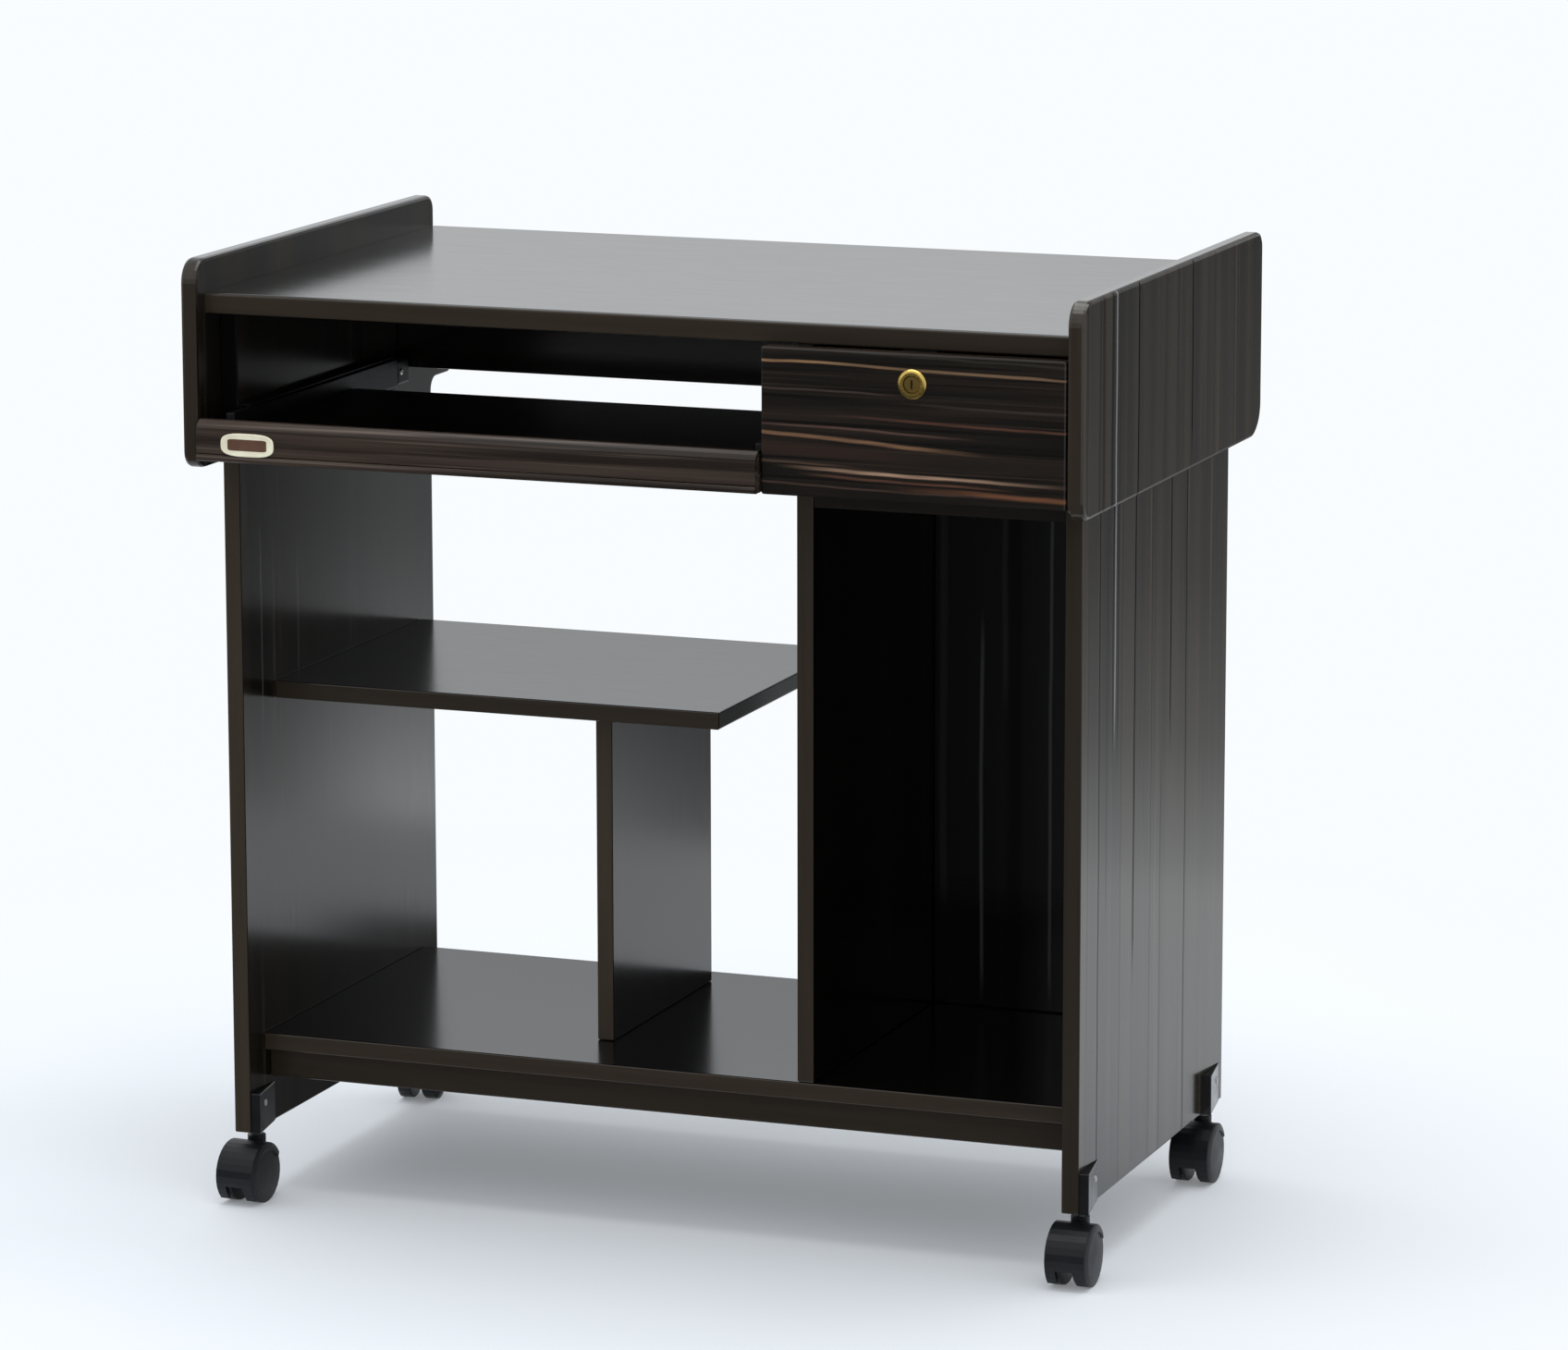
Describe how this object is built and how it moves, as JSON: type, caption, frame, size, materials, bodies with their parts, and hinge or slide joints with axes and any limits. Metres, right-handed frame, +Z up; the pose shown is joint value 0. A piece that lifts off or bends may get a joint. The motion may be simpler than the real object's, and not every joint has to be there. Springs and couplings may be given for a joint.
{
  "type": "computer table",
  "caption": "Computer table on hooded twin-wheel castors, with a sliding keyboard tray, a lockable drawer, a case bay and a printer shelf.",
  "frame": {"origin": "on the floor, under the middle of the whole table's box", "axes": "+Z up, -Y to the front where the tray and the drawer slide out, +X to the user's right"},
  "size_m": [0.8, 0.508, 0.83],
  "materials": {
    "laminate": "semi-gloss dark wood-grain laminate",
    "drawer_board": "satin dark foil",
    "slide_steel": "satin dark",
    "moulded_plastic": "satin",
    "wheel_plastic": "satin",
    "steel": "zinc plated",
    "brass": "polished"
  },
  "bodies": {
    "carcass": {"desk_top": "laminate", "left_cheek": "laminate", "right_cheek": "laminate", "left_leg_panel": "laminate", "right_leg_panel": "laminate", "divider_panel": "laminate", "bay_back_panel": "laminate", "rear_rail": "laminate", "drawer_shelf": "laminate", "bottom_shelf": "laminate", "toe_rail": "laminate", "printer_shelf": "laminate", "shelf_support": "laminate", "left_tray_rail": "slide_steel", "right_tray_rail": "slide_steel", "left_drawer_rail": "slide_steel", "right_drawer_rail": "slide_steel", "left_tray_stop": "moulded_plastic", "right_tray_stop": "moulded_plastic", "lock_strike": "slide_steel", "front_left_castor_socket": "moulded_plastic", "front_right_castor_socket": "moulded_plastic", "rear_left_castor_socket": "moulded_plastic", "rear_right_castor_socket": "moulded_plastic", "front_left_castor_stem": "steel", "front_right_castor_stem": "steel", "rear_left_castor_stem": "steel", "rear_right_castor_stem": "steel"},
    "tray": {"tray_board": "laminate", "tray_front_rail": "laminate", "left_tray_runner": "slide_steel", "right_tray_runner": "slide_steel"},
    "drawer": {"drawer_front": "laminate", "drawer_left_side": "drawer_board", "drawer_right_side": "drawer_board", "drawer_back": "drawer_board", "drawer_bottom": "drawer_board", "left_drawer_runner": "slide_steel", "right_drawer_runner": "slide_steel", "lock_rosette": "brass", "lock_housing": "brass"},
    "lock": {"lock_plug": "brass", "lock_cam": "steel"},
    "front_left_swivel": {"front_left_castor_hood": "moulded_plastic", "front_left_castor_axle": "steel"},
    "front_left_left_wheel": {"front_left_castor_left_wheel": "wheel_plastic"},
    "front_left_right_wheel": {"front_left_castor_right_wheel": "wheel_plastic"},
    "front_right_swivel": {"front_right_castor_hood": "moulded_plastic", "front_right_castor_axle": "steel"},
    "front_right_left_wheel": {"front_right_castor_left_wheel": "wheel_plastic"},
    "front_right_right_wheel": {"front_right_castor_right_wheel": "wheel_plastic"},
    "rear_left_swivel": {"rear_left_castor_hood": "moulded_plastic", "rear_left_castor_axle": "steel"},
    "rear_left_left_wheel": {"rear_left_castor_left_wheel": "wheel_plastic"},
    "rear_left_right_wheel": {"rear_left_castor_right_wheel": "wheel_plastic"},
    "rear_right_swivel": {"rear_right_castor_hood": "moulded_plastic", "rear_right_castor_axle": "steel"},
    "rear_right_left_wheel": {"rear_right_castor_left_wheel": "wheel_plastic"},
    "rear_right_right_wheel": {"rear_right_castor_right_wheel": "wheel_plastic"}
  },
  "joints": [
    {"name": "tray_slide", "type": "slide", "parent": "carcass", "child": "tray", "axis": [0, -1, 0], "range_m": [0, 0.22]},
    {"name": "drawer_slide", "type": "slide", "parent": "carcass", "child": "drawer", "axis": [0, -1, 0], "range_m": [0, 0.23]},
    {"name": "lock_turn", "type": "hinge", "parent": "drawer", "child": "lock", "pos_m": [0.2532, -0.245, 0.7574], "axis": [0, -1, 0], "range_deg": [0, 90]},
    {"name": "front_left_castor_swivel", "type": "hinge", "parent": "carcass", "child": "front_left_swivel", "pos_m": [-0.3762, -0.174, 0], "axis": [0, 0, 1], "continuous": true},
    {"name": "front_left_left_wheel_spin", "type": "hinge", "parent": "front_left_swivel", "child": "front_left_left_wheel", "pos_m": [-0.37725, -0.18896, 0.025], "axis": [0.9976, -0.0698, 0], "continuous": true},
    {"name": "front_left_right_wheel_spin", "type": "hinge", "parent": "front_left_swivel", "child": "front_left_right_wheel", "pos_m": [-0.37725, -0.18896, 0.025], "axis": [0.9976, -0.0698, 0], "continuous": true},
    {"name": "front_right_castor_swivel", "type": "hinge", "parent": "carcass", "child": "front_right_swivel", "pos_m": [0.3782, -0.174, 0], "axis": [0, 0, 1], "continuous": true},
    {"name": "front_right_left_wheel_spin", "type": "hinge", "parent": "front_right_swivel", "child": "front_right_left_wheel", "pos_m": [0.3782, -0.189, 0.025], "axis": [1, 0, 0], "continuous": true},
    {"name": "front_right_right_wheel_spin", "type": "hinge", "parent": "front_right_swivel", "child": "front_right_right_wheel", "pos_m": [0.3782, -0.189, 0.025], "axis": [1, 0, 0], "continuous": true},
    {"name": "rear_left_castor_swivel", "type": "hinge", "parent": "carcass", "child": "rear_left_swivel", "pos_m": [-0.3762, 0.173, 0], "axis": [0, 0, 1], "continuous": true},
    {"name": "rear_left_left_wheel_spin", "type": "hinge", "parent": "rear_left_swivel", "child": "rear_left_left_wheel", "pos_m": [-0.37803, 0.18789, 0.025], "axis": [-0.9925, -0.1219, 0], "continuous": true},
    {"name": "rear_left_right_wheel_spin", "type": "hinge", "parent": "rear_left_swivel", "child": "rear_left_right_wheel", "pos_m": [-0.37803, 0.18789, 0.025], "axis": [-0.9925, -0.1219, 0], "continuous": true},
    {"name": "rear_right_castor_swivel", "type": "hinge", "parent": "carcass", "child": "rear_right_swivel", "pos_m": [0.3782, 0.173, 0], "axis": [0, 0, 1], "continuous": true},
    {"name": "rear_right_left_wheel_spin", "type": "hinge", "parent": "rear_right_swivel", "child": "rear_right_left_wheel", "pos_m": [0.3782, 0.158, 0.025], "axis": [1, 0, 0], "continuous": true},
    {"name": "rear_right_right_wheel_spin", "type": "hinge", "parent": "rear_right_swivel", "child": "rear_right_right_wheel", "pos_m": [0.3782, 0.158, 0.025], "axis": [1, 0, 0], "continuous": true}
  ]
}
